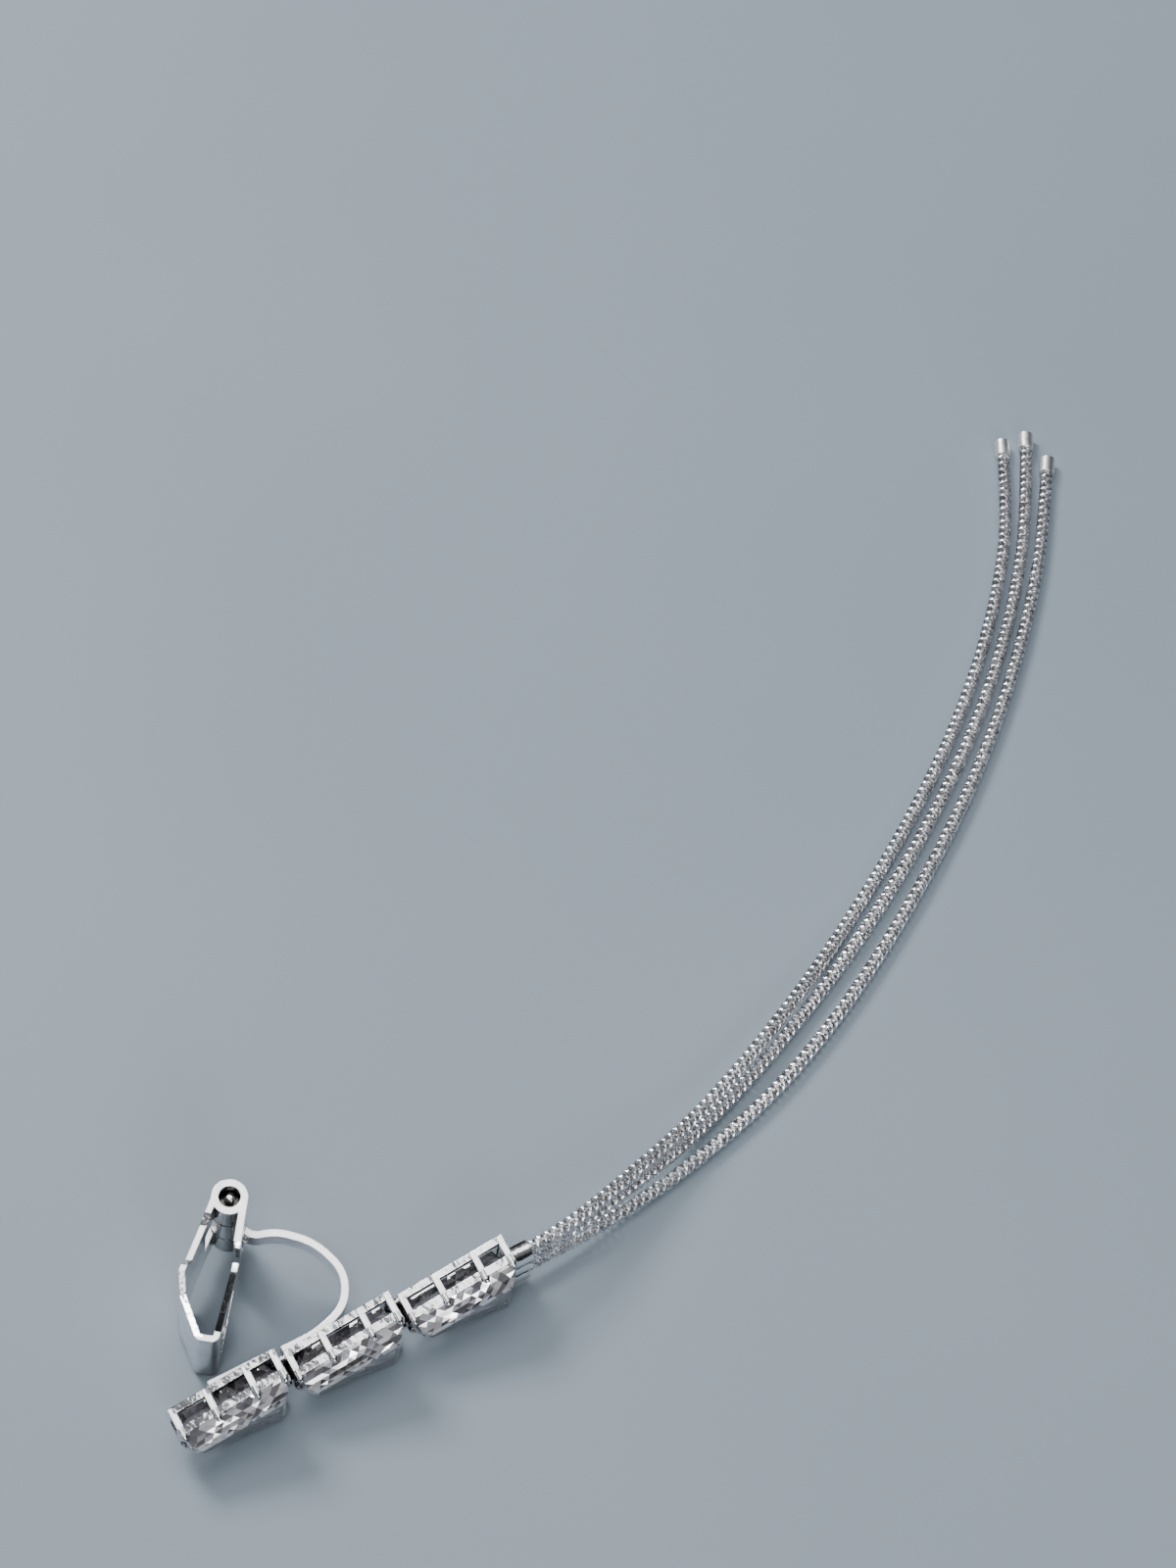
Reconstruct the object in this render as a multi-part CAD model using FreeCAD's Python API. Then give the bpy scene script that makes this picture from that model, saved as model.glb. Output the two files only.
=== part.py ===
"""A clip on earring lying on its side: three keystone stones in a row, a sprung clip and three chains."""
import FreeCAD, Part
import math
import os

V = FreeCAD.Vector

# Sizes in millimetres. The bar's own axes: x from its ear-top end to its chain end, y backwards
# to the hinge with 0 at the bar's back, z across the bar with 0 on its middle plane.
SECTIONS = 3
STRANDS = 3
PITCH = 7.9
SECTION_LONG = 7.2
NARROW_HALF = 0.9
WIDE_HALF = 2.8
DEPTH = 3.15
BAR_LONG = (SECTIONS - 1) * PITCH + SECTION_LONG

RAIL = 0.42
BACK_RAIL_FRONT = -0.45
FRONT_RAIL = (-1.85, -1.35)
POST = 0.42
POSTS_AT = (0.21, 2.5, 5.15, 6.99)
PRONG_BEAD = 0.3
BEAD_OUT = 0.2
BEAD_LONG = 0.6
BEAD_DOME = 0.22
PRONG_FRONT = -2.0
STONE_GAP = 0.05

# Each step of the stone: how far it stands in from the setting's outline, and its depth.
STONE_STEPS = (
    dict(inset=0.80, depth=-0.40),
    dict(inset=0.60, depth=-0.95),
    dict(inset=0.12, depth=-1.42),
    dict(inset=0.12, depth=-1.72),
    dict(inset=0.27, depth=-2.35),
    dict(inset=0.55, depth=-2.85),
    dict(inset=0.90, depth=-DEPTH),
)

JOINT_BAR = 0.32
JOINT_BAR_Z = 0.5
JOINT_BEAD_R = 0.42
PLATE = dict(start=2.9, end=6.7, half=1.2, thick=0.4)

# Clip: the pin's place, the closed paddle's direction and the pieces round the pin.
PIVOT_X = 9.1
PIVOT_Y = 9.6
CLOSED_DEG = 234
PIN_R = 0.6
PIN_SHAFT_HALF = 2.6
PIN_TIP_R = 0.3
PIN_HALF = 3.35
BARREL_IN = 0.68
BARREL_OUT = 1.15
BARREL_HALF = 3.6
SLEEVE_IN = 0.62
SLEEVE_OUT = 1.15
SLEEVE_HALF = 1.15
NOTCH_HALF = 1.35
NOTCH_LONG = 2.1

SHEET = 0.4
NECK = dict(start=1.2, end=4.3, half=3.2)
CREASE = dict(s=5.4, n=-2.1, half=4.4)
BOW = dict(s=6.9, n=-1.75, half=4.1)
TIP_S = 9.1
TIP_OUT_N = -0.5
TIP_IN_N = 0.6
LEAF_END_S = 3.3
LEAF_END_N = 0.95
TAIL_LONG = 2.8
FOLD_R = 0.3
LEAF_END_HALF = 1.0
LEAF_LEG = 0.95
WINDOW = (4.6, 8.3)

# Ear arm: a narrow strip along the bar's back, out in a bow and round to the hinge sleeve.
ARM_THICK = 0.48
ARM_HALF = 0.7
ARM_ROUTE = ((7.95, 0.2), (10.5, 0.2), (12.7, 0.95), (13.7, 2.9), (12.95, 5.4), (11.2, 7.1),
             (9.5, 7.65), (9.3, 9.0))

# Chains: round strands that leave three sockets one above the other and lie on the surface.
STRAND_R = 0.5
STRAND_GAP = 0.15
SOCKET_OUT = 0.74
SOCKET_IN = 0.56
SOCKET_LONG = 1.3
SOCKET_Y = -1.36
SOCKET_STEP = 1.6
CAP_R = 0.55
CAP_LONG = 1.3
CAP_GAP = 0.05

# Where the line through the resting beads meets the bar's ear-top end, from the middle of the
# whole earring's outline.
BAR_AT = V(-44.93, -20.34, 0)

# The chains' routes on the surface, x, y and z of each point after the straight start.
ROUTES = (
    ((-12.4, -18.65, 3.3), (-6.3, -16.55, 2.15), (-0.5, -14.1, 1.9), (5.05, -11.2, 1.25),
     (10.45, -8.05, 0.55), (15.85, -4.8, 0.55), (21.1, -1.3, 0.55), (26.1, 2.45, 0.55),
     (30.8, 6.6, 0.55), (35.1, 11.05, 0.55), (38.9, 15.75, 0.55), (41.9, 20.9, 0.55)),
    ((-12.55, -18.75, 2.0), (-6.45, -16.9, 0.75), (-0.45, -14.65, 0.55), (5.4, -12.05, 0.55),
     (11.1, -9.15, 0.55), (16.65, -5.85, 0.55), (22.0, -2.25, 0.55), (27.1, 1.65, 0.55),
     (31.9, 5.9, 0.55), (36.3, 10.5, 0.55), (40.3, 15.4, 0.55), (43.7, 20.65, 0.55)),
    ((-12.15, -19.35, 0.65), (-5.85, -18.2, 0.55), (0.1, -16.5, 0.55), (5.75, -14.05, 0.55),
     (11.2, -11.1, 0.55), (16.55, -7.8, 0.55), (21.75, -4.25, 0.55), (26.75, -0.35, 0.55),
     (31.45, 3.8, 0.55), (35.9, 8.25, 0.55), (40.05, 12.95, 0.55), (43.75, 18.0, 0.55)),
)
STRAIGHT_START = 3.4
ARC_SHARE = 0.45

# The earring rests on the lowest prong beads and on the wide paddle's lower tip corner, so the
# bar and clip lean by this many degrees about the beads. The tip's width follows from that.
LEAN = 11.0
REST_DEPTH = -PRONG_FRONT
REST_HALF = NARROW_HALF + (WIDE_HALF - NARROW_HALF) * POSTS_AT[-1] / SECTION_LONG + PRONG_BEAD * BEAD_OUT
TIP_LOW_Y = (PIVOT_Y + (TIP_S + SHEET / 2) * math.sin(math.radians(CLOSED_DEG))
             + (TIP_IN_N + SHEET / 2) * math.cos(math.radians(CLOSED_DEG)))
TIP_HALF = REST_HALF + (TIP_LOW_Y + REST_DEPTH) * math.tan(math.radians(LEAN))


def laid(shape):
    """The shape moved from the bar's own axes to where it lies."""
    moved = shape.copy()
    moved.translate(V(0, REST_DEPTH, REST_HALF))
    moved.rotate(V(0, 0, 0), V(1, 0, 0), LEAN)
    moved.translate(BAR_AT)
    return moved


def laid_point(x, y, z):
    return laid(Part.Vertex(x, y, z)).Point


def keystone(inset=0.0, depth=0.0, start=0.0):
    """The corners of a section's outline at a depth, drawn in by the inset."""
    slope = (WIDE_HALF - NARROW_HALF) / SECTION_LONG
    side = inset * math.hypot(1, slope)
    near = NARROW_HALF + slope * inset - side
    far = WIDE_HALF - slope * inset - side
    x0 = start + inset
    x1 = start + SECTION_LONG - inset
    return [V(x0, depth, -near), V(x1, depth, -far), V(x1, depth, far), V(x0, depth, near)]


def half_at(x):
    return NARROW_HALF + (WIDE_HALF - NARROW_HALF) * x / SECTION_LONG


def facet(points):
    return Part.Face(Part.makePolygon(list(points) + [points[0]]))


def stepped_solid(outlines):
    """A closed solid with flat facets between outlines that are stacked along y."""
    faces = [facet(outlines[0]), facet(outlines[-1])]
    for low, high in zip(outlines, outlines[1:]):
        for i in range(len(low)):
            j = (i + 1) % len(low)
            faces.append(facet([low[i], low[j], high[j], high[i]]))
    solid = Part.Solid(Part.Shell(faces))
    if solid.Volume < 0:
        solid.reverse()
    return solid


def box(x0, x1, y0, y1, z0, z1):
    return Part.makeBox(x1 - x0, y1 - y0, z1 - z0, V(x0, y0, z0))


def rod(start, direction, radius):
    return Part.makeCylinder(radius, direction.Length, start, direction)


def domed(base, direction, radius, dome):
    """A rod with a flattened dome past its far end."""
    far = base + direction
    tip = Part.makeCone(radius, radius / 2, dome, far, direction)
    return rod(base, direction, radius).fuse(tip)


def ring(outer, inner, half, centre):
    """A short tube about the z direction."""
    base = centre - V(0, 0, half)
    tube = Part.makeCylinder(outer, 2 * half, base)
    return tube.cut(Part.makeCylinder(inner, 2 * half, base))


def bent_wire(points, radius=None, report=None):
    """Straight runs joined by tangent arcs, as large as the shorter run at each point allows."""
    corners = [V(*p) for p in points]
    edges = []
    radii = []
    at = corners[0]
    for i in range(1, len(corners) - 1):
        back = corners[i - 1] - corners[i]
        ahead = corners[i + 1] - corners[i]
        half_turn = (math.pi - back.getAngle(ahead)) / 2
        reach = ARC_SHARE * min(back.Length, ahead.Length)
        if radius is not None:
            reach = radius * math.tan(half_turn)
        bend = reach / math.tan(half_turn)
        radii.append(bend)
        back.normalize()
        ahead.normalize()
        first = corners[i] + back * reach
        last = corners[i] + ahead * reach
        inward = back + ahead
        inward.normalize()
        middle = corners[i] + inward * (bend / math.cos(half_turn) - bend)
        edges.append(Part.LineSegment(at, first).toShape())
        edges.append(Part.Arc(first, middle, last).toShape())
        at = last
    edges.append(Part.LineSegment(at, corners[-1]).toShape())
    if report:
        print(report, "bend radii", " ".join("%.1f" % r for r in radii))
    return Part.Wire(edges)


def tube(points, radius, name):
    """A round tube along a bent wire."""
    wire = bent_wire(points, report=name)
    start = V(*points[0])
    profile = Part.Wire(Part.makeCircle(radius, start, V(*points[1]) - start))
    solid = wire.makePipeShell([profile], True, False)
    expected = math.pi * radius ** 2 * wire.Length
    print(name, "length %.1f volume %.2f of %.2f" % (wire.Length, solid.Volume, expected))
    return solid


def strip(points, thick, half, radius=None):
    """A flat strip bent in the xy plane: thick across its bend and 2 half wide along z."""
    wire = bent_wire([(x, y, 0) for x, y in points], radius)
    start = V(*points[0], 0)
    along = V(*points[1], 0) - start
    along.normalize()
    side = V(-along.y, along.x, 0) * (thick / 2)
    up = V(0, 0, half)
    corners = [start - side - up, start + side - up, start + side + up, start - side + up]
    profile = Part.makePolygon(corners + [corners[0]])
    return wire.makePipeShell([profile], True, False)


def joined(shapes):
    whole = shapes[0].multiFuse(shapes[1:])
    return whole.removeSplitter()


def rail(front, back, start):
    """A keystone ring of rail between two depths."""
    outer = keystone(0, front, start)
    inner = keystone(RAIL, front, start)
    face = facet(outer).cut(facet(inner))
    return face.extrude(V(0, back - front, 0))


def section_setting(start):
    """One open keystone setting: back rail, front rail, posts and bead prongs."""
    pieces = [rail(BACK_RAIL_FRONT, 0, start), rail(FRONT_RAIL[0], FRONT_RAIL[1], start)]
    for x in POSTS_AT:
        for side in (-1, 1):
            outer = half_at(x) * side
            inner = outer - side * POST
            low, high = sorted((outer, inner))
            middle = start + x
            pieces.append(box(middle - POST / 2, middle + POST / 2, PRONG_FRONT, -0.05, low, high))
            root = V(middle, PRONG_FRONT + BEAD_LONG, outer - side * PRONG_BEAD * (1 - BEAD_OUT))
            pieces.append(domed(root, V(0, -BEAD_LONG, 0), PRONG_BEAD, BEAD_DOME))
    return pieces


def stone(start, grow=0.0):
    outlines = [keystone(step["inset"] - grow, step["depth"], start) for step in STONE_STEPS]
    return stepped_solid(outlines)


def section_joint(start):
    """The two soldered bars and the small bead between one section and the next."""
    pieces = []
    x0 = start + SECTION_LONG - RAIL
    for side in (-1, 1):
        at = V(x0, -JOINT_BAR, side * JOINT_BAR_Z)
        pieces.append(rod(at, V(PITCH - SECTION_LONG + 2 * RAIL, 0, 0), JOINT_BAR))
    middle = start + (SECTION_LONG + PITCH) / 2
    pieces.append(domed(V(middle, -JOINT_BAR, 0), V(0, SOCKET_Y, 0), JOINT_BEAD_R, BEAD_DOME))
    pieces.append(box(middle - JOINT_BAR, middle + JOINT_BAR, -2 * JOINT_BAR, 0, -JOINT_BAR_Z, JOINT_BAR_Z))
    return pieces


def chain_sockets():
    """An end wall across the last section's wide end with three short sockets."""
    reach = WIDE_HALF - RAIL / 2
    pieces = [box(BAR_LONG - RAIL, BAR_LONG, SOCKET_Y - SOCKET_OUT, SOCKET_Y + SOCKET_OUT, -reach, reach)]
    for i in range(STRANDS):
        at = V(BAR_LONG - RAIL / 2, SOCKET_Y, (1 - i) * SOCKET_STEP)
        pieces.append(rod(at, V(SOCKET_LONG + RAIL / 2, 0, 0), SOCKET_OUT))
    return joined(pieces)


def socket_bores():
    along = V(SOCKET_LONG + 1, 0, 0)
    return [rod(V(BAR_LONG, SOCKET_Y, (1 - i) * SOCKET_STEP), along, SOCKET_IN) for i in range(STRANDS)]


def ear_arm():
    """The bowed strip from the bar's back to the sleeve on the hinge pin."""
    pivot = V(PIVOT_X, PIVOT_Y, 0)
    bow = strip(ARM_ROUTE, ARM_THICK, ARM_HALF)
    sleeve = Part.makeCylinder(SLEEVE_OUT, 2 * SLEEVE_HALF, pivot - V(0, 0, SLEEVE_HALF))
    return [bow, sleeve]


def setting_frame():
    pieces = []
    for i in range(SECTIONS):
        pieces += section_setting(i * PITCH)
    for i in range(SECTIONS - 1):
        pieces += section_joint(i * PITCH)
    pieces.append(chain_sockets())
    pieces.append(box(PLATE["start"], PLATE["end"], 0, PLATE["thick"], -PLATE["half"], PLATE["half"]))
    for x in (PLATE["start"], PLATE["end"] - RAIL):
        reach = half_at(x) - RAIL / 2
        pieces.append(box(x, x + RAIL, BACK_RAIL_FRONT, 0.05, -reach, reach))
    pieces += ear_arm()
    frame = joined(pieces)
    pivot = V(PIVOT_X, PIVOT_Y, 0)
    cutters = [stone(i * PITCH, STONE_GAP) for i in range(SECTIONS)] + socket_bores()
    cutters.append(Part.makeCylinder(SLEEVE_IN, 4, pivot - V(0, 0, 2)))
    return frame.cut(Part.makeCompound(cutters))


def outline_prism(points):
    """A prism across the sheet from its outline's along-and-half points, mirrored about z 0."""
    corners = [V(s, -5, half) for s, half in points] + [V(s, -5, -half) for s, half in reversed(points)]
    return facet(corners).extrude(V(0, 10, 0))


def paddle_sheet():
    """The folded paddle in its own axes: x along it from the pin, y towards the ear, z across."""
    wall_middle = (BARREL_IN + BARREL_OUT) / 2
    barrel = ring(BARREL_OUT, BARREL_IN, BARREL_HALF, V(0, 0, 0))
    tail = box(0, TAIL_LONG, BARREL_IN, BARREL_OUT, -BARREL_HALF, BARREL_HALF)
    root = box(0, SHEET, -BARREL_OUT, -BARREL_IN, -BARREL_HALF, BARREL_HALF)
    folds = ((SHEET / 2, -wall_middle), (CREASE["s"], CREASE["n"]), (BOW["s"], BOW["n"]),
             (TIP_S, TIP_OUT_N), (TIP_S, TIP_IN_N), (LEAF_END_S, LEAF_END_N))
    whole = strip(folds, SHEET, CREASE["half"], radius=FOLD_R)
    outer_side = box(-2, TIP_S + 1, -4, TIP_OUT_N + 0.3, -5, 5)
    outer = whole.common(outer_side)
    outer = outer.common(outline_prism([(-1, BARREL_HALF), (NECK["start"], BARREL_HALF),
                                        (NECK["start"] + 0.8, NECK["half"]), (NECK["end"], NECK["half"]),
                                        (NECK["end"] + 0.7, CREASE["half"]), (CREASE["s"], CREASE["half"]),
                                        (BOW["s"], BOW["half"]), (TIP_S, TIP_HALF), (TIP_S + 1, TIP_HALF)]))
    inner = whole.cut(outer_side)
    inner = inner.common(outline_prism([(LEAF_END_S - 1, LEAF_END_HALF), (LEAF_END_S + 0.6, LEAF_END_HALF),
                                        (TIP_S - 0.5, TIP_HALF), (TIP_S + 1, TIP_HALF)]))
    slope = (TIP_HALF - LEAF_END_HALF) / (TIP_S - 0.5 - LEAF_END_S - 0.6)
    base = LEAF_END_HALF + slope * (WINDOW[1] - LEAF_END_S - 0.6) - LEAF_LEG
    apex = base - slope * (WINDOW[1] - WINDOW[0])
    inner = inner.cut(outline_prism([(WINDOW[0], apex), (WINDOW[1], base)]))
    sheet = joined([barrel, tail, root, outer, inner])
    notch = box(-BARREL_OUT - 1, NOTCH_LONG, -BARREL_OUT - 1, BARREL_OUT + 1, -NOTCH_HALF, NOTCH_HALF)
    return sheet.cut(notch)


def clip_paddle():
    sheet = paddle_sheet()
    sheet.rotate(V(0, 0, 0), V(0, 0, 1), CLOSED_DEG)
    sheet.translate(V(PIVOT_X, PIVOT_Y, 0))
    return sheet


def hinge_pin():
    """The pin's shaft with a thinner, domed tip at each end, inside the barrel's mouths."""
    pivot = V(PIVOT_X, PIVOT_Y, 0)
    shaft = Part.makeCylinder(PIN_R, 2 * PIN_SHAFT_HALF, pivot - V(0, 0, PIN_SHAFT_HALF))
    tips = [domed(pivot, V(0, 0, side * PIN_HALF), PIN_TIP_R, PIN_TIP_R / 2) for side in (-1, 1)]
    return joined([shaft] + tips)


def strand_points(i):
    """A strand's route: straight out of its socket, then over the surface."""
    x = BAR_LONG + STRAND_GAP
    z = (1 - i) * SOCKET_STEP
    start = laid_point(x, SOCKET_Y, z)
    out = laid_point(x + STRAIGHT_START, SOCKET_Y, z)
    return [tuple(start), tuple(out)] + list(ROUTES[i])


def end_cap(points):
    """The plain round cap past the end of a strand."""
    end = V(*points[-1])
    along = end - V(*points[-2])
    along.normalize()
    return rod(end + along * CAP_GAP, along * CAP_LONG, CAP_R)


def write(name, shape):
    solids = shape.Solids
    if len(solids) != 1:
        print("WARNING", name, "has", len(solids), "solids")
    solid = solids[0] if len(solids) == 1 else shape
    print("%-16s volume %8.3f valid %s" % (name, solid.Volume, solid.isValid()))
    solid.exportStep("parts/" + name + ".step")
    return solid


os.makedirs("parts", exist_ok=True)
nodes = {"setting_frame": laid(setting_frame())}
for number in range(SECTIONS):
    nodes["stone_%d" % (number + 1)] = laid(stone(number * PITCH))
nodes["clip_paddle"] = laid(clip_paddle())
nodes["hinge_pin"] = laid(hinge_pin())
for number in range(len(ROUTES)):
    route = strand_points(number)
    name = "strand_%d" % (number + 1)
    nodes[name] = tube(route, STRAND_R, name)
    nodes["strand_cap_%d" % (number + 1)] = end_cap(route)
whole_box = FreeCAD.BoundBox()
for name, shape in nodes.items():
    whole_box.add(write(name, shape).BoundBox)
print("lean %.2f degrees" % LEAN)
print("low corner %.2f %.2f %.2f" % (whole_box.XMin, whole_box.YMin, whole_box.ZMin))
print("high corner %.2f %.2f %.2f" % (whole_box.XMax, whole_box.YMax, whole_box.ZMax))
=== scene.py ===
import bmesh
import bpy
import math
import random
from mathutils import Matrix, Vector


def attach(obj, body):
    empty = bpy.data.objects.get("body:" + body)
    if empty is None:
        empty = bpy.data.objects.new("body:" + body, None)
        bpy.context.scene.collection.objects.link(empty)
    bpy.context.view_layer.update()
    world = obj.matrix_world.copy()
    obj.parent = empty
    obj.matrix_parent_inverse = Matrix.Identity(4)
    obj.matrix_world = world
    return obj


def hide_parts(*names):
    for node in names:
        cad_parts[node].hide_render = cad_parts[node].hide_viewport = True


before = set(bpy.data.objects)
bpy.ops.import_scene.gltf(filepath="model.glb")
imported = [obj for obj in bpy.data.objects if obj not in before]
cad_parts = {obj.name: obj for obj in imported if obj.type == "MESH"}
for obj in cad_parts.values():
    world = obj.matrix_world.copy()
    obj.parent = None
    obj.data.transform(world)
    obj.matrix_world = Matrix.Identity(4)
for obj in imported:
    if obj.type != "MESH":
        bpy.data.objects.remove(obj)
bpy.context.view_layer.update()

# The photograph's camera, seen from the point on the surface at the image's centre.
LOOK_AT = Vector((0.0016, 0.0110, 0.0))
VIEW_AZIMUTH = math.radians(29.67)
VIEW_ELEVATION = math.radians(55)
VIEW_DISTANCE = 0.273
LENS_MM = 91.4

# The chains' routes in metres, from their sockets to their end caps.
ROUTES = {
    "strand_1": (
        (-0.02178, -0.02055, 0.00445), (-0.01838, -0.02055, 0.00445), (-0.0124, -0.01865, 0.0033),
        (-0.0063, -0.01655, 0.00215), (-0.0005, -0.0141, 0.0019), (0.00505, -0.0112, 0.00125),
        (0.01045, -0.00805, 0.00055), (0.01585, -0.0048, 0.00055), (0.0211, -0.0013, 0.00055),
        (0.0261, 0.00245, 0.00055), (0.0308, 0.0066, 0.00055), (0.0351, 0.01105, 0.00055),
        (0.0389, 0.01575, 0.00055), (0.0419, 0.0209, 0.00055),
    ),
    "strand_2": (
        (-0.02178, -0.02025, 0.00288), (-0.01838, -0.02025, 0.00288), (-0.01255, -0.01875, 0.002),
        (-0.00645, -0.0169, 0.00075), (-0.00045, -0.01465, 0.00055), (0.0054, -0.01205, 0.00055),
        (0.0111, -0.00915, 0.00055), (0.01665, -0.00585, 0.00055), (0.022, -0.00225, 0.00055),
        (0.0271, 0.00165, 0.00055), (0.0319, 0.0059, 0.00055), (0.0363, 0.0105, 0.00055),
        (0.0403, 0.0154, 0.00055), (0.0437, 0.02065, 0.00055),
    ),
    "strand_3": (
        (-0.02178, -0.01994, 0.0013), (-0.01838, -0.01994, 0.0013), (-0.01215, -0.01935, 0.00065),
        (-0.00585, -0.0182, 0.00055), (0.0001, -0.0165, 0.00055), (0.00575, -0.01405, 0.00055),
        (0.0112, -0.0111, 0.00055), (0.01655, -0.0078, 0.00055), (0.02175, -0.00425, 0.00055),
        (0.02675, -0.00035, 0.00055), (0.03145, 0.0038, 0.00055), (0.0359, 0.00825, 0.00055),
        (0.04005, 0.01295, 0.00055), (0.04375, 0.018, 0.00055),
    ),
}

# The stones, in the bar's own axes: x along the bar, y from its back, z across it.
STONES = 3
STONE_PITCH = 0.0079
SECTION_LONG = 0.0072
NARROW_HALF = 0.0009
WIDE_HALF = 0.0028
BAR_AT = Vector((-0.04493, -0.02034, 0.0))
REST_DEPTH = 0.002
REST_HALF = 0.002805
LEAN = math.radians(11)

# Each row of facet corners: how far in from the setting's outline, how deep, and whether its
# corners stand between those of the rows beside it.
STONE_ROWS = (
    dict(inset=0.00080, depth=-0.00040, between=False),
    dict(inset=0.00060, depth=-0.00095, between=True),
    dict(inset=0.00012, depth=-0.00142, between=False),
    dict(inset=0.00012, depth=-0.00172, between=False),
    dict(inset=0.00019, depth=-0.00203, between=True),
    dict(inset=0.00027, depth=-0.00235, between=False),
    dict(inset=0.00041, depth=-0.00262, between=True),
    dict(inset=0.00055, depth=-0.00285, between=False),
    dict(inset=0.00073, depth=-0.00301, between=True),
    dict(inset=0.00090, depth=-0.00315, between=False),
)
CULET_DEPTH = -0.0002
LONG_SIDE_FACETS = 11
NARROW_END_FACETS = 2
WIDE_END_FACETS = 5
FACET_BULGE = (0.0, 0.0001)
CROWN_LEVEL = 3
FACET_SEED = 5

# The facets' painted light, drawn for each one, from painted shade at 0 to painted highlight at 1:
# the table, the fan of facets round the point at the back, the crown from the girdle to the table,
# and the bands behind the girdle painted dim as shade.
TABLE_PAINTED_LIGHT = 1.0
FAN_PAINTED_LIGHTS = (0.2, 0.6, 1.0)
CROWN_PAINTED_LIGHTS = (0.2, 0.7, 1.0, 1.0)
BACK_PAINTED_SHADE_RANGE = (0.0, 0.25)

# How much a facet flashes like a mirror. Only facets painted brighter than this can flash.
FLASHES = (0.0, 0.3, 1.0)
FLASH_ABOVE = 0.5

STONE_IOR = 2.1
FACET_CLEARNESS = 0.4
TABLE_CLEARNESS = 0.92

# The chain's links: pairs of small rings that cross, each pair turned a quarter from the last.
LINK_STEP = 0.0003
LINK_RING = 0.00038
LINK_WIRE = 0.000118
LINK_TILT = math.radians(40)
LINK_SIDES = 12
WIRE_SIDES = 6

# The chain's painted glints: every fifth pair of links is painted at full brightness, and the others
# swing about a middle value.
PAINTED_GLINT_EVERY = 5
PAINTED_GLINT_MIDDLE = 0.45
PAINTED_GLINT_SWING = 0.3
PAINTED_GLINT_TURN = 2.4

# The order of the routes' NURBS lines, and the points that are read from each span of them.
ROUTE_ORDER = 3
ROUTE_STEPS = 24

# How far the metal's edges are rounded, and how far the painted shade in the metal's recesses
# reaches.
EDGE_ROUND = 0.00009
PAINTED_SHADE_REACH = 0.003

# The noises' spots to the metre.
CAST_CLOUD = 900
SHINE_GRAIN = 2600
SATIN_GRAIN = 1500
CHAIN_GRAIN = 3200
STONE_CLOUD = 900
SURFACE_CLOUD = 14
SURFACE_GRAIN = 2500

SURFACE_HALF = 1.5

# The lights, seen from above the earring: how far to the right of the camera's side and how high
# each stands, in degrees, its width in metres and its power in watts.
LIGHT_DISTANCE = 0.5
LIGHTS = (
    dict(name="key", right_turn=-140, elevation=48, size=0.2, watts=2.2),
    dict(name="top", right_turn=-135, elevation=84, size=0.4, watts=1.05),
    dict(name="front", right_turn=-5, elevation=60, size=0.14, watts=0.6),
    dict(name="low_front", right_turn=12, elevation=30, size=0.14, watts=0.6),
)

# The room's greys by height, from 0 at the horizon to 1 overhead.
ROOM_LOW = dict(height=0.1, grey=(0.015, 0.016, 0.018, 1))
ROOM_MIDDLE = dict(height=0.55, grey=(0.05, 0.052, 0.058, 1))
ROOM_HIGH = dict(height=0.85, grey=(0.5, 0.52, 0.56, 1))
ROOM_STRENGTH = 0.35


def new_material(name):
    """A material with nodes, its node tree and its Principled shader."""
    material = bpy.data.materials.new(name)
    material.use_nodes = True
    tree = material.node_tree
    return material, tree, tree.nodes["Principled BSDF"]


def add_noise(tree, scale, detail=3.0):
    """A noise in the object's own metres."""
    place = tree.nodes.new("ShaderNodeTexCoord")
    noise = tree.nodes.new("ShaderNodeTexNoise")
    noise.inputs["Scale"].default_value = scale
    noise.inputs["Detail"].default_value = detail
    tree.links.new(place.outputs["Object"], noise.inputs["Vector"])
    return noise.outputs["Fac"]


def add_ramp(tree, value, low, high, start=0.3, end=0.7):
    """A colour ramp between two greys or colours, driven by a value."""
    ramp = tree.nodes.new("ShaderNodeValToRGB")
    ramp.color_ramp.elements[0].position = start
    ramp.color_ramp.elements[1].position = end
    ramp.color_ramp.elements[0].color = low
    ramp.color_ramp.elements[1].color = high
    tree.links.new(value, ramp.inputs["Fac"])
    return ramp.outputs["Color"]


def add_range(tree, value, low, high):
    """A value stretched from 0..1 to low..high."""
    stretch = tree.nodes.new("ShaderNodeMapRange")
    stretch.inputs["To Min"].default_value = low
    stretch.inputs["To Max"].default_value = high
    tree.links.new(value, stretch.inputs["Value"])
    return stretch.outputs["Result"]


def add_attribute(tree, name):
    """The value that a mesh carries under a name."""
    carried = tree.nodes.new("ShaderNodeAttribute")
    carried.attribute_name = name
    return carried.outputs["Fac"]


def multiply(tree, first, second):
    """Two colours multiplied."""
    mix = tree.nodes.new("ShaderNodeMix")
    mix.data_type = "RGBA"
    mix.blend_type = "MULTIPLY"
    mix.inputs["Factor"].default_value = 1.0
    tree.links.new(first, mix.inputs["A"])
    tree.links.new(second, mix.inputs["B"])
    return mix.outputs["Result"]


def add_painted_recess_shade(tree, reach, low, high):
    """Painted shade: a colour that goes from low in the recesses, up to this reach, to high on open
    faces.
    """
    painted_recess_shade = tree.nodes.new("ShaderNodeAmbientOcclusion")
    painted_recess_shade.samples = 6
    painted_recess_shade.inputs["Distance"].default_value = reach
    return add_ramp(tree, painted_recess_shade.outputs["AO"], low, high, 0.25, 0.75)


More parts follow.
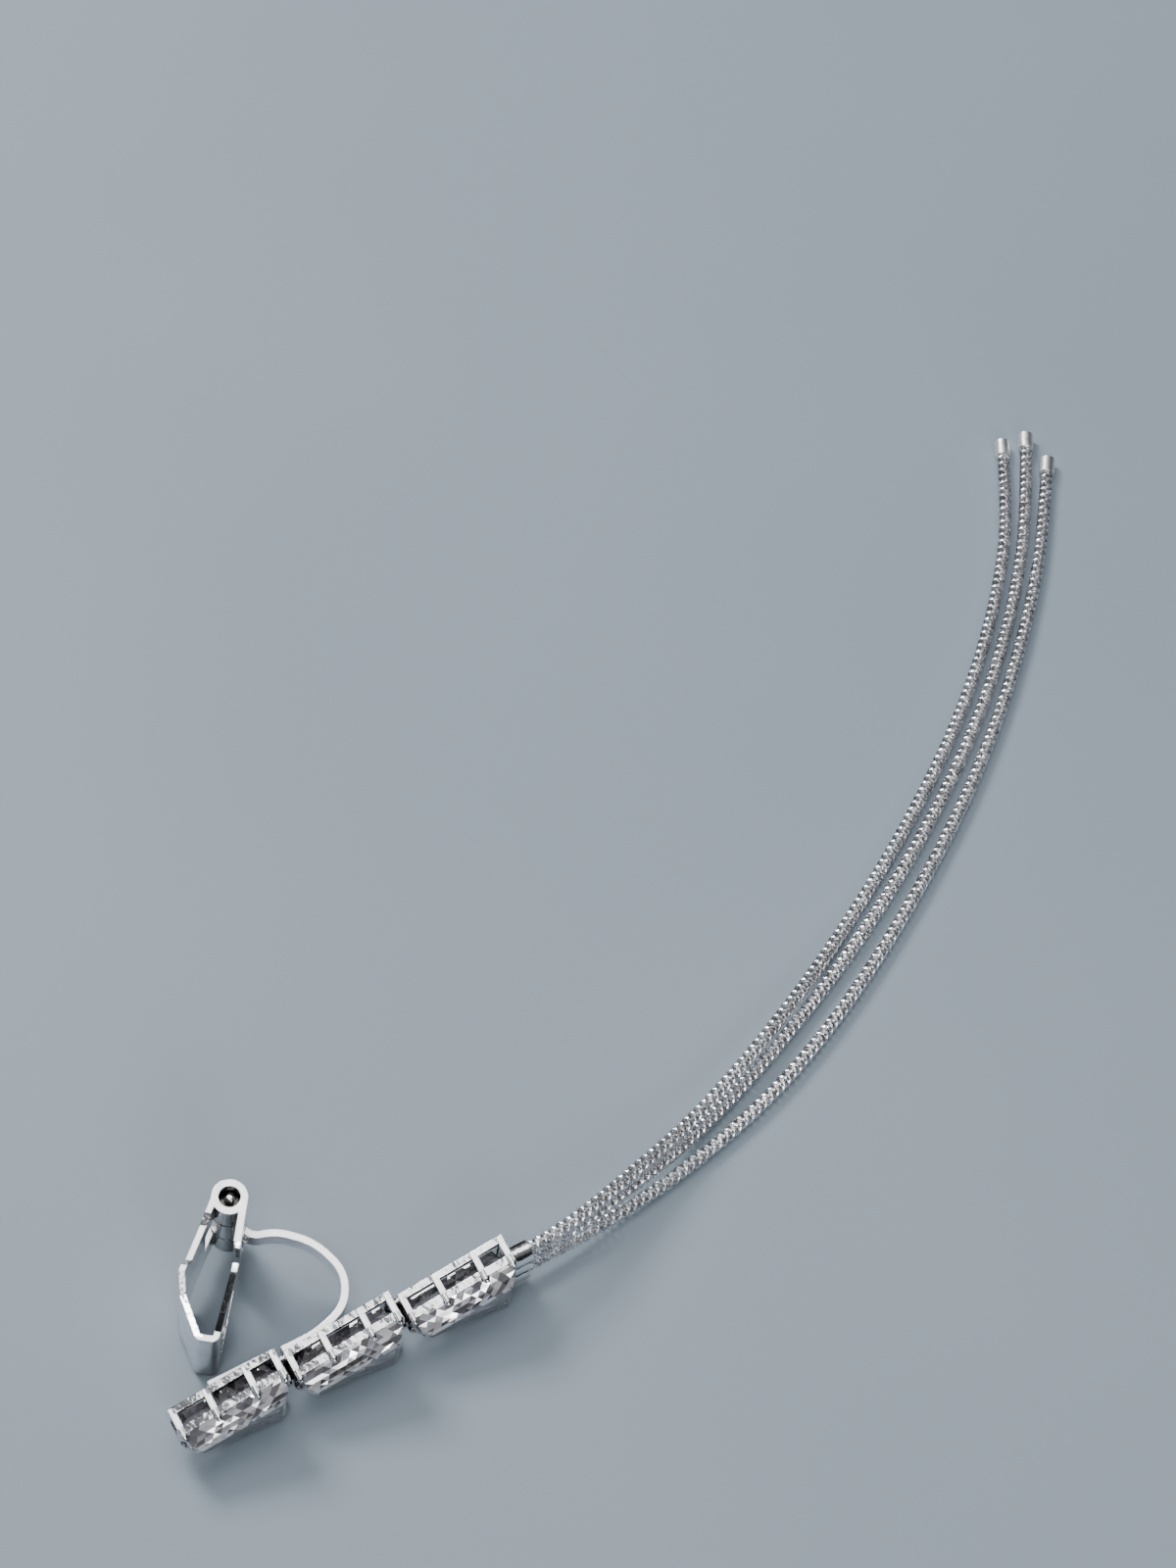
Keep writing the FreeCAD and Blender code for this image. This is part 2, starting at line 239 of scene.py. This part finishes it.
def add_bump(tree, shader, value, strength, distance):
    """Relief in the shading, driven by a value. Its node comes back for what goes under it."""
    bump = tree.nodes.new("ShaderNodeBump")
    bump.inputs["Strength"].default_value = strength
    bump.inputs["Distance"].default_value = distance
    tree.links.new(value, bump.inputs["Height"])
    tree.links.new(bump.outputs["Normal"], shader.inputs["Normal"])
    return bump


def silver_material():
    """Polished plated silver, slightly uneven, with painted shade in its recesses and with rounded
    edges.
    """
    material, tree, shader = new_material("polished_silver")
    shader.inputs["Metallic"].default_value = 1.0
    cloud = add_noise(tree, CAST_CLOUD)
    tint = add_ramp(tree, cloud, (0.82, 0.82, 0.85, 1), (0.98, 0.98, 0.99, 1))
    # Painted shade: the base colour darkens to near black in the recesses.
    painted_recess_shade = add_painted_recess_shade(tree, PAINTED_SHADE_REACH, (0.06, 0.06, 0.05, 1), (1, 1, 1, 1))
    tree.links.new(multiply(tree, tint, painted_recess_shade), shader.inputs["Base Color"])
    fine = add_noise(tree, SHINE_GRAIN, 5.0)
    tree.links.new(add_range(tree, fine, 0.04, 0.22), shader.inputs["Roughness"])
    bump = add_bump(tree, shader, cloud, 0.45, 0.00016)
    edge = tree.nodes.new("ShaderNodeBevel")
    edge.samples = 4
    edge.inputs["Radius"].default_value = EDGE_ROUND
    tree.links.new(edge.outputs["Normal"], bump.inputs["Normal"])
    return material


def cap_material():
    """Satin silver of the chains' end caps."""
    material, tree, shader = new_material("satin_silver")
    shader.inputs["Metallic"].default_value = 1.0
    cloud = add_noise(tree, SATIN_GRAIN)
    tint = add_ramp(tree, cloud, (0.86, 0.87, 0.86, 1), (0.98, 0.98, 0.98, 1))
    tree.links.new(tint, shader.inputs["Base Color"])
    tree.links.new(add_range(tree, cloud, 0.35, 0.55), shader.inputs["Roughness"])
    add_bump(tree, shader, cloud, 0.3, 0.0001)
    return material


def chain_material():
    """Diamond cut silver, with painted glints that make some links brighter than the others."""
    material, tree, shader = new_material("chain_with_painted_glints")
    shader.inputs["Metallic"].default_value = 1.0
    # Painted glints: each link's colour runs from mid grey to white by the glint it carries.
    painted_glint = add_attribute(tree, "painted_glint")
    tint = add_ramp(tree, painted_glint, (0.5, 0.5, 0.52, 1), (0.98, 0.98, 1.0, 1), 0.0, 1.0)
    tree.links.new(tint, shader.inputs["Base Color"])
    fine = add_noise(tree, CHAIN_GRAIN, 4.0)
    tree.links.new(add_range(tree, fine, 0.16, 0.4), shader.inputs["Roughness"])
    add_bump(tree, shader, fine, 0.5, 0.0001)
    return material


def stone_material(name, clearness):
    """Cut stone with a faint mauve grey cloud in it, each facet painted from near black to white as
    painted sparkle and painted shade. Clearness is the share of light let through.
    """
    material, tree, shader = new_material(name)
    shader.inputs["Transmission Weight"].default_value = clearness
    shader.inputs["IOR"].default_value = STONE_IOR
    # Painted sparkle and painted shade: each facet's colour runs from near black to white by the
    # value it carries.
    painted_facet_light = add_attribute(tree, "painted_facet_light")
    tint = add_ramp(tree, painted_facet_light, (0.05, 0.045, 0.055, 1), (1.0, 1.0, 1.0, 1), 0.0, 1.0)
    cloud = add_noise(tree, STONE_CLOUD)
    veil = add_ramp(tree, cloud, (0.82, 0.8, 0.92, 1), (1.0, 1.0, 1.0, 1))
    tree.links.new(multiply(tree, tint, veil), shader.inputs["Base Color"])
    tree.links.new(add_range(tree, cloud, 0.0, 0.03), shader.inputs["Roughness"])
    flash = add_range(tree, add_attribute(tree, "flash"), 0.05, 0.85)
    tree.links.new(flash, shader.inputs["Metallic"])
    return material


def surface_material():
    """Plain blue grey surface with a barely uneven tone."""
    material, tree, shader = new_material("pale_surface")
    cloud = add_noise(tree, SURFACE_CLOUD)
    tint = add_ramp(tree, cloud, (0.235, 0.29, 0.345, 1), (0.26, 0.315, 0.37, 1))
    tree.links.new(tint, shader.inputs["Base Color"])
    shader.inputs["Roughness"].default_value = 0.6
    grain = add_noise(tree, SURFACE_GRAIN)
    add_bump(tree, shader, grain, 0.05, 0.00005)
    return material


def dress_node(name, material):
    """Gives a CAD node its material."""
    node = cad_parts[name]
    node.data.materials.clear()
    node.data.materials.append(material)


def route_points(name):
    """Points read from the smooth NURBS line of a chain's route."""
    curve = bpy.data.curves.new(name + "_line", "CURVE")
    curve.dimensions = "3D"
    spline = curve.splines.new("NURBS")
    spline.points.add(len(ROUTES[name]) - 1)
    for point, place in zip(spline.points, ROUTES[name]):
        point.co = (*place, 1)
    spline.order_u = ROUTE_ORDER
    spline.use_endpoint_u = True
    spline.resolution_u = ROUTE_STEPS
    holder = bpy.data.objects.new(name + "_line", curve)
    line = bpy.data.meshes.new_from_object(holder)
    points = [vertex.co.copy() for vertex in line.vertices]
    bpy.data.objects.remove(holder)
    bpy.data.curves.remove(curve)
    bpy.data.meshes.remove(line)
    return points


def along_line(points, step):
    """Places and directions at even steps along a line of points."""
    places = []
    walked = 0.0
    wanted = step / 2
    for start, end in zip(points, points[1:]):
        run = end - start
        while wanted <= walked + run.length:
            places.append((start + run * ((wanted - walked) / run.length), run.normalized()))
            wanted += step
        walked += run.length
    return places


def add_ring(turn, place, corners, faces):
    """Adds one small ring of wire, turned and placed, to the lists."""
    first = len(corners)
    for i in range(LINK_SIDES):
        a = math.tau * i / LINK_SIDES
        for j in range(WIRE_SIDES):
            b = math.tau * j / WIRE_SIDES
            reach = LINK_RING + LINK_WIRE * math.cos(b)
            corner = Vector((LINK_WIRE * math.sin(b), reach * math.cos(a), reach * math.sin(a)))
            corners.append(place + turn @ corner)
    for i in range(LINK_SIDES):
        for j in range(WIRE_SIDES):
            here = first + i * WIRE_SIDES
            there = first + (i + 1) % LINK_SIDES * WIRE_SIDES
            k = (j + 1) % WIRE_SIDES
            faces.append((here + j, there + j, there + k, here + k))


def make_chain(name, material):
    """A round chain of crossing rings along a route, in place of a strand's plain tube."""
    corners = []
    faces = []
    painted_glints = []
    for number, (place, along) in enumerate(along_line(route_points(name), LINK_STEP)):
        side = along.cross(Vector((0, 0, 1))).normalized()
        up = side.cross(along)
        quarter = Matrix.Rotation(math.pi / 4 + (number % 2) * math.pi / 2, 3, "X")
        basis = Matrix((along, side, up)).transposed()
        for sign in (-1, 1):
            tilt = Matrix.Rotation(sign * LINK_TILT, 3, "Z")
            add_ring(basis @ quarter @ tilt, place, corners, faces)
            # Each pair's painted glint: the brightness painted into its links' colour.
            painted_glint = PAINTED_GLINT_MIDDLE + PAINTED_GLINT_SWING * math.sin(number * PAINTED_GLINT_TURN)
            if number % PAINTED_GLINT_EVERY == 0:
                painted_glint = 1.0
            painted_glints += [painted_glint] * (LINK_SIDES * WIRE_SIDES)
    mesh = bpy.data.meshes.new(name + "_links")
    mesh.from_pydata(corners, [], faces)
    mesh.attributes.new("painted_glint", "FLOAT", "POINT").data.foreach_set("value", painted_glints)
    mesh.materials.append(material)
    chain = bpy.data.objects.new(name + "_links", mesh)
    bpy.context.scene.collection.objects.link(chain)
    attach(chain, "earring")
    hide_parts(name)


def stone_row(row, start, chance):
    """The facet corners of one row, walked round the keystone outline.

    The corners between stand out unevenly, so that each facet faces its own way.
    """
    inset = row["inset"]
    slope = (WIDE_HALF - NARROW_HALF) / SECTION_LONG
    drawn_in = inset * math.hypot(1, slope)
    near = NARROW_HALF + slope * inset - drawn_in
    far = WIDE_HALF - slope * inset - drawn_in
    x0 = start + inset
    x1 = start + SECTION_LONG - inset
    corners = (Vector((x0, -near)), Vector((x1, -far)), Vector((x1, far)), Vector((x0, near)))
    counts = (LONG_SIDE_FACETS, WIDE_END_FACETS, LONG_SIDE_FACETS, NARROW_END_FACETS)
    points = []
    for i, count in enumerate(counts):
        side = corners[(i + 1) % 4] - corners[i]
        outward = Vector((side.y, -side.x)).normalized()
        for j in range(count):
            place = corners[i] + side * (j / count)
            if row["between"]:
                place = corners[i] + side * ((j + 0.5) / count)
                place += outward * chance.uniform(*FACET_BULGE)
            points.append(Vector((place.x, row["depth"], place.y)))
    return points


def laid(point):
    """A point moved from the bar's own axes to where it lies."""
    return Matrix.Rotation(LEAN, 3, "X") @ (point + Vector((0, REST_DEPTH, REST_HALF))) + BAR_AT


def stone_facets(count, chance):
    """A stone's facets as corner numbers, and the painted light of each, from painted shade to
    painted highlight.

    The table comes first, then the fan at the back, then the bands between the rows of corners.
    """
    last = (len(STONE_ROWS) - 1) * count
    back_point = last + count
    faces = [tuple(range(last, last + count))]
    faces += [(back_point, i, (i + 1) % count) for i in range(count)]
    painted_facet_lights = [TABLE_PAINTED_LIGHT] + [chance.choice(FAN_PAINTED_LIGHTS) for _ in range(count)]
    for level in range(len(STONE_ROWS) - 1):
        shifted = STONE_ROWS[level]["between"]
        level_with = STONE_ROWS[level + 1]["between"] == shifted
        for i in range(count):
            j = (i + 1) % count
            low, low_next = level * count + i, level * count + j
            high, high_next = low + count, low_next + count
            if level_with:
                faces.append((low, low_next, high_next, high))
            elif shifted:
                faces += [(low, high_next, high), (low, low_next, high_next)]
            else:
                faces += [(low, low_next, high), (low_next, high_next, high)]
        for _ in range(len(faces) - len(painted_facet_lights)):
            # Painted light for each new facet: crown facets get painted highlights or darker facets,
            # and the bands behind the girdle get dim painted shade.
            painted_facet_light = chance.choice(CROWN_PAINTED_LIGHTS)
            if level < CROWN_LEVEL:
                painted_facet_light = chance.uniform(*BACK_PAINTED_SHADE_RANGE)
            painted_facet_lights.append(painted_facet_light)
    return faces, painted_facet_lights


def make_stone(number, sides, table):
    """A keystone stone cut with rows of flat facets, in place of the CAD's plainer one."""
    chance = random.Random(FACET_SEED + number)
    rows = [stone_row(row, number * STONE_PITCH, chance) for row in STONE_ROWS]
    count = len(rows[0])
    middle = sum(rows[0], Vector()) / count
    corners = [laid(point) for row in rows for point in row]
    corners.append(laid(Vector((middle.x, CULET_DEPTH, middle.z))))
    faces, painted_facet_lights = stone_facets(count, chance)
    flashes = [chance.choice(FLASHES) if painted_facet_light > FLASH_ABOVE else 0.0 for painted_facet_light in painted_facet_lights]
    flashes[0] = 0.0
    mesh = bpy.data.meshes.new("stone_cut_%d" % (number + 1))
    mesh.from_pydata(corners, [], faces)
    mesh.attributes.new("painted_facet_light", "FLOAT", "FACE").data.foreach_set("value", painted_facet_lights)
    mesh.attributes.new("flash", "FLOAT", "FACE").data.foreach_set("value", flashes)
    shape = bmesh.new()
    shape.from_mesh(mesh)
    bmesh.ops.recalc_face_normals(shape, faces=shape.faces)
    shape.to_mesh(mesh)
    shape.free()
    mesh.materials.append(sides)
    mesh.materials.append(table)
    mesh.polygons[0].material_index = 1
    cut = bpy.data.objects.new(mesh.name, mesh)
    bpy.context.scene.collection.objects.link(cut)
    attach(cut, "earring")
    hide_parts("stone_%d" % (number + 1))


def aim(thing, place, target):
    """Places a light or camera so that it looks at a target, and adds it to the scene."""
    thing.location = place
    thing.rotation_euler = (target - place).to_track_quat("-Z", "Y").to_euler()
    bpy.context.scene.collection.objects.link(thing)


def from_view(right_turn, elevation, distance):
    """A place round the earring: turned right from the camera's side, and this high."""
    azimuth = VIEW_AZIMUTH - math.radians(right_turn)
    height = math.radians(elevation)
    flat = Vector((-math.sin(azimuth), -math.cos(azimuth), 0)) * math.cos(height)
    return LOOK_AT + (flat + Vector((0, 0, math.sin(height)))) * distance


def add_soft_light(name, right_turn, elevation, size, watts):
    """A round soft light that looks at the earring."""
    lamp = bpy.data.lights.new(name, "AREA")
    lamp.shape = "DISK"
    lamp.size = size
    lamp.energy = watts
    place = from_view(right_turn, elevation, LIGHT_DISTANCE)
    aim(bpy.data.objects.new(name, lamp), place, LOOK_AT)


def add_surface():
    """The flat surface that the earring lies on."""
    half = SURFACE_HALF
    corners = [(-half, -half, 0), (half, -half, 0), (half, half, 0), (-half, half, 0)]
    mesh = bpy.data.meshes.new("surface")
    mesh.from_pydata(corners, [], [(0, 1, 2, 3)])
    mesh.materials.append(surface_material())
    surface = bpy.data.objects.new("surface", mesh)
    bpy.context.scene.collection.objects.link(surface)


def add_room():
    """A room that is bright overhead and dark near its floor, for the metal to mirror."""
    world = bpy.data.worlds.new("room")
    world.use_nodes = True
    bpy.context.scene.world = world
    tree = world.node_tree
    place = tree.nodes.new("ShaderNodeTexCoord")
    split = tree.nodes.new("ShaderNodeSeparateXYZ")
    ramp = tree.nodes.new("ShaderNodeValToRGB")
    stops = ramp.color_ramp.elements
    stops[0].position = ROOM_LOW["height"]
    stops[0].color = ROOM_LOW["grey"]
    stops[1].position = ROOM_HIGH["height"]
    stops[1].color = ROOM_HIGH["grey"]
    middle = stops.new(ROOM_MIDDLE["height"])
    middle.color = ROOM_MIDDLE["grey"]
    tree.links.new(place.outputs["Generated"], split.inputs["Vector"])
    tree.links.new(split.outputs["Z"], ramp.inputs["Fac"])
    tree.links.new(ramp.outputs["Color"], tree.nodes["Background"].inputs["Color"])
    tree.nodes["Background"].inputs["Strength"].default_value = ROOM_STRENGTH


def add_camera():
    """The camera at the photograph's viewing angle."""
    camera = bpy.data.cameras.new("photo_camera")
    camera.lens = LENS_MM
    camera.clip_start = 0.01
    holder = bpy.data.objects.new("photo_camera", camera)
    aim(holder, from_view(0, math.degrees(VIEW_ELEVATION), VIEW_DISTANCE), LOOK_AT)
    bpy.context.scene.camera = holder


silver = silver_material()
chain_painted_glints = chain_material()
painted_sparkle_stone = stone_material("stone_painted_sparkle", FACET_CLEARNESS)
clear = stone_material("clear_table", TABLE_CLEARNESS)
satin = cap_material()
for node_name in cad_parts:
    if node_name.startswith("stone"):
        dress_node(node_name, painted_sparkle_stone)
    else:
        dress_node(node_name, satin if node_name.startswith("strand") else silver)
for stone_number in range(STONES):
    make_stone(stone_number, painted_sparkle_stone, clear)
for strand_name in ROUTES:
    make_chain(strand_name, chain_painted_glints)
add_surface()
add_room()
for light in LIGHTS:
    add_soft_light(**light)
add_camera()
